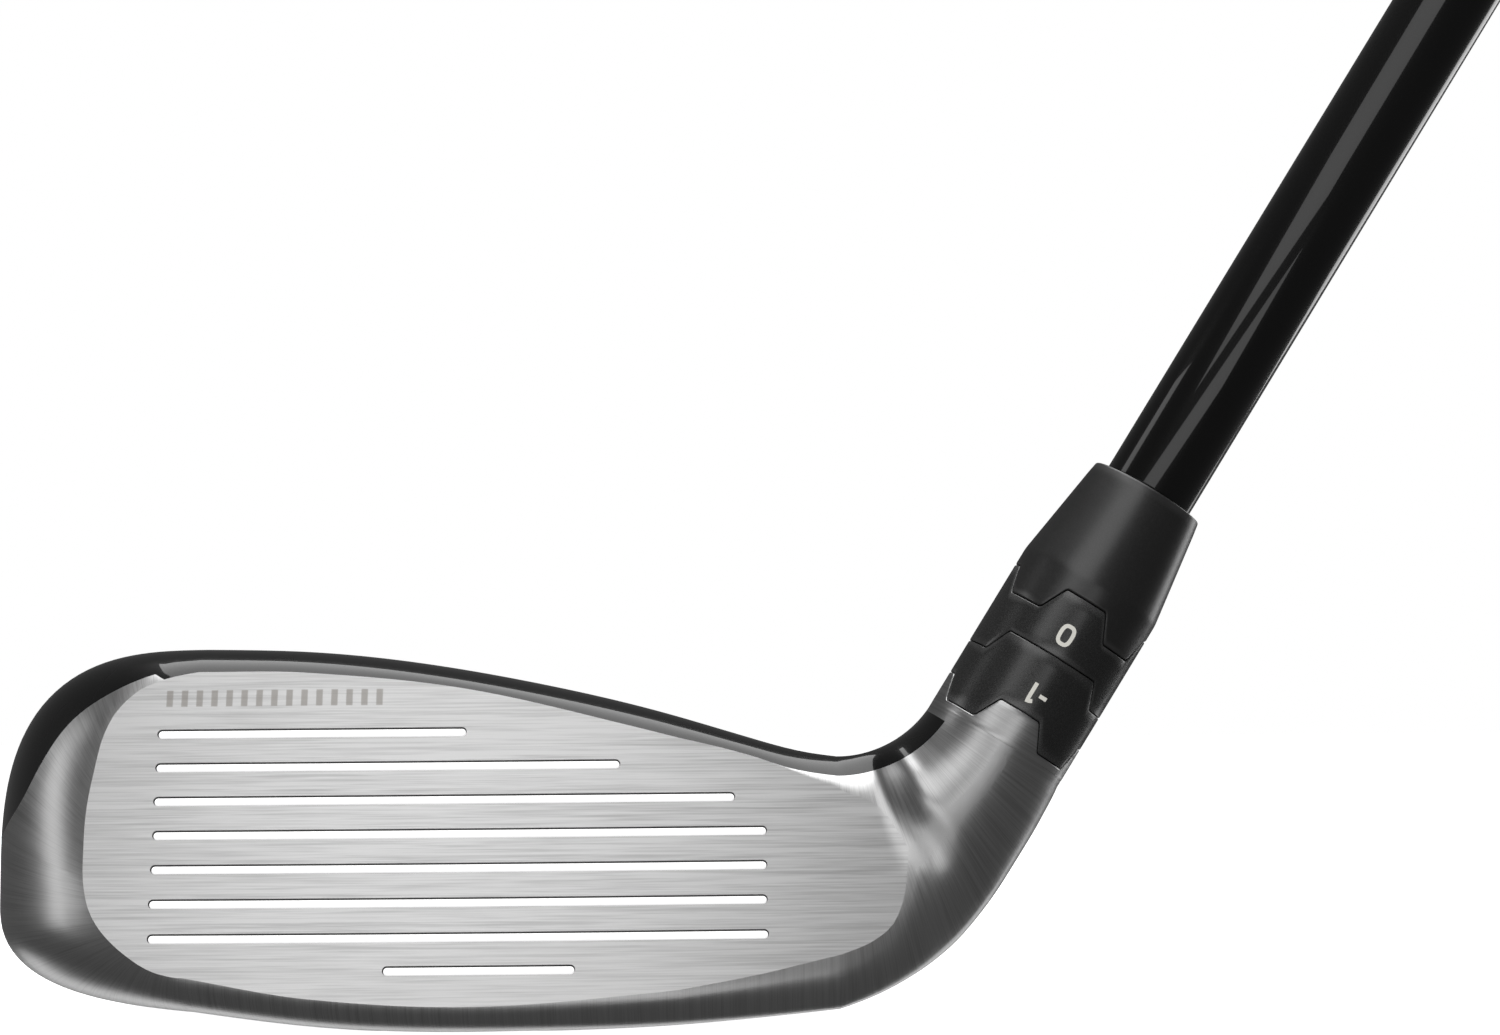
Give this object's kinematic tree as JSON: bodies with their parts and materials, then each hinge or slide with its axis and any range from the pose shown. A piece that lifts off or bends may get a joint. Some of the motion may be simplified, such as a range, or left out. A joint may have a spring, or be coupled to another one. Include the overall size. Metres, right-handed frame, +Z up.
{
  "type": "hybrid golf club",
  "caption": "Adjustable hybrid golf club: hollow steel head with black crown, toothed hosel with two indexing rings, black tapered collar, long graphite shaft and rubber grip.",
  "frame": {"origin": "the small flat of the sole that touches the ground below the face, with the club at address", "axes": "+Z up, toe towards -X and heel and shaft towards +X, the face looks towards -Y"},
  "size_m": [0.6368, 0.0541, 0.8728],
  "materials": {
    "brushed_steel_body": "fine brushed",
    "brushed_face": "fine horizontal brushing",
    "white_fill": "smooth paint",
    "gloss_black_crown": "gloss clear coat over carbon laminate",
    "raw_steel": "as cast and machined",
    "dense_weight": "sintered tungsten alloy",
    "dark_screw": "black oxide",
    "black_rubber": "smooth",
    "black_anodised": "satin black anodised",
    "pale_mark": "satin paint",
    "bare_aluminium": "turned",
    "black_collar": "satin",
    "gloss_black_shaft": "gloss over graphite",
    "brass_plug": "turned",
    "grip_tape": "woven paper tape",
    "grip_rubber": "textured"
  },
  "bodies": {
    "head": {"head_body": "brushed_steel_body", "face_cup": "brushed_face", "score_line_paint": "white_fill", "crown": "gloss_black_crown", "hosel_tube": "brushed_steel_body", "toe_stiffening_bar": "raw_steel", "heel_stiffening_bar": "raw_steel", "internal_weight": "dense_weight", "weight_port": "raw_steel", "rear_weight_screw": "dark_screw", "screw_washer": "raw_steel", "screw_retainer": "black_rubber"},
    "hosel_screw": {"hosel_screw": "dark_screw"},
    "shaft_assembly": {"adapter_sleeve": "bare_aluminium", "collar": "black_collar", "shaft": "gloss_black_shaft", "tip_weight": "brass_plug", "grip_tape": "grip_tape", "grip": "grip_rubber", "butt_cap": "grip_rubber"},
    "loft_ring": {"loft_cog_o_ring": "black_rubber"},
    "loft_cog": {"loft_cog": "black_anodised", "loft_cog_mark": "pale_mark"},
    "lie_ring": {"lie_cog_o_ring": "black_rubber"},
    "lie_cog": {"lie_cog": "black_anodised", "lie_cog_mark": "pale_mark"}
  },
  "joints": [
    {"name": "hosel_screw_turn", "type": "hinge", "parent": "head", "child": "hosel_screw", "pos_m": [0.0396, 0, 0.00848], "axis": [0.5299, 0, 0.848], "continuous": true},
    {"name": "shaft_pull", "type": "slide", "parent": "head", "child": "shaft_assembly", "axis": [0.5299, 0, 0.848], "range_m": [0, 0.048]},
    {"name": "loft_ring_slide", "type": "slide", "parent": "shaft_assembly", "child": "loft_ring", "axis": [0.5299, 0, 0.848], "range_m": [-0.024, 0]},
    {"name": "loft_cog_turn", "type": "hinge", "parent": "loft_ring", "child": "loft_cog", "pos_m": [0.05444, 0, 0.03223], "axis": [0.5299, 0, 0.848], "range_deg": [0, 90.01]},
    {"name": "lie_ring_slide", "type": "slide", "parent": "shaft_assembly", "child": "lie_ring", "axis": [0.5299, 0, 0.848], "range_m": [-0.024, 0]},
    {"name": "lie_cog_turn", "type": "hinge", "parent": "lie_ring", "child": "lie_cog", "pos_m": [0.05772, 0, 0.03748], "axis": [0.5299, 0, 0.848], "range_deg": [0, 90.01]}
  ],
  "couplings": [
    {"joint": "loft_ring_slide", "follows": "shaft_pull", "ratio": -0.5},
    {"joint": "lie_ring_slide", "follows": "shaft_pull", "ratio": -0.5},
    {"joint": "loft_cog_turn", "follows": "shaft_pull", "rad_per_m": 32.725},
    {"joint": "lie_cog_turn", "follows": "shaft_pull", "rad_per_m": 32.725}
  ]
}
